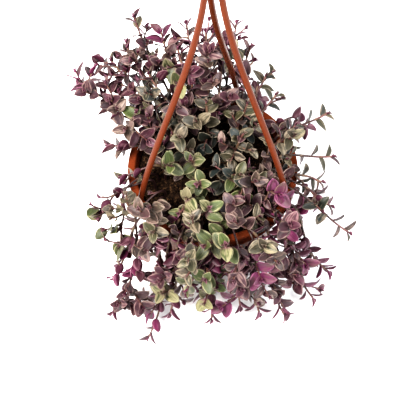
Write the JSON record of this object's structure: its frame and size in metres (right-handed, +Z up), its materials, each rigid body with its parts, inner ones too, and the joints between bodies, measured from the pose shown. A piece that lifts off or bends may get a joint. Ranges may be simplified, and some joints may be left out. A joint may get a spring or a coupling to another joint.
{
  "type": "potted callisia",
  "caption": "Trailing turtle vine with variegated leaves in a round plastic hanging pot with an arm hanger and a hook.",
  "frame": {"origin": "centre of the pot's flat foot, on the surface it stands on", "axes": "+Z up along the pot's axis; the hook stands 2.6 mm to the -X side of it; -Y is the side the picture was taken from; the hook's plate lies in the XZ plane"},
  "size_m": [0.249, 0.2426, 0.4389],
  "materials": {
    "pot_plastic": "satin terracotta-coloured plastic",
    "hanger_plastic": "satin terracotta-coloured plastic",
    "soil": "crumbly dark potting soil",
    "foliage_green": "green leaves with cream edges, satin",
    "foliage_grey": "grey-green leaves with pinkish edges, satin",
    "foliage_magenta": "purple-magenta leaves, satin"
  },
  "bodies": {
    "root": {"pot": "pot_plastic", "soil": "soil", "hanger": "hanger_plastic", "stem_left_1": "foliage_magenta", "stem_left_2": "foliage_magenta", "stem_left_3": "foliage_magenta", "stem_left_4": "foliage_magenta", "stem_left_5": "foliage_magenta", "stem_left_6": "foliage_magenta", "stem_left_7": "foliage_magenta", "stem_left_8": "foliage_magenta", "stem_left_9": "foliage_magenta", "stem_fringe_1": "foliage_magenta", "stem_fringe_2": "foliage_magenta", "stem_fringe_3": "foliage_magenta", "stem_fringe_4": "foliage_magenta", "stem_fringe_5": "foliage_magenta", "stem_fringe_6": "foliage_magenta", "stem_fringe_7": "foliage_magenta", "stem_fringe_8": "foliage_magenta", "stem_fringe_9": "foliage_magenta", "stem_fringe_10": "foliage_magenta", "stem_fringe_11": "foliage_magenta", "stem_rosettes_1": "foliage_green", "stem_rosettes_2": "foliage_green", "stem_rosettes_3": "foliage_green", "stem_rosettes_4": "foliage_green", "stem_rosettes_5": "foliage_green", "stem_rosettes_6": "foliage_green", "stem_rosettes_7": "foliage_green", "stem_right_1": "foliage_grey", "stem_right_2": "foliage_grey", "stem_right_3": "foliage_grey", "stem_right_4": "foliage_grey", "stem_right_5": "foliage_grey", "stem_right_6": "foliage_grey", "stem_right_7": "foliage_grey", "stem_right_8": "foliage_grey", "stem_right_9": "foliage_grey", "stem_top_1": "foliage_magenta", "stem_top_2": "foliage_magenta", "stem_top_3": "foliage_magenta", "stem_top_4": "foliage_magenta", "stem_top_5": "foliage_magenta", "stem_top_6": "foliage_magenta", "stem_top_7": "foliage_magenta", "stem_crown_1": "foliage_green", "stem_crown_2": "foliage_green", "stem_crown_3": "foliage_green", "stem_crown_4": "foliage_green", "stem_crown_5": "foliage_green", "stem_crown_6": "foliage_green", "stem_crown_7": "foliage_green", "stem_crown_8": "foliage_green", "stem_crown_9": "foliage_green", "stem_crown_10": "foliage_green", "stem_back_1": "foliage_magenta", "stem_back_2": "foliage_magenta", "stem_back_3": "foliage_magenta", "stem_back_4": "foliage_magenta"}
  },
  "joints": []
}
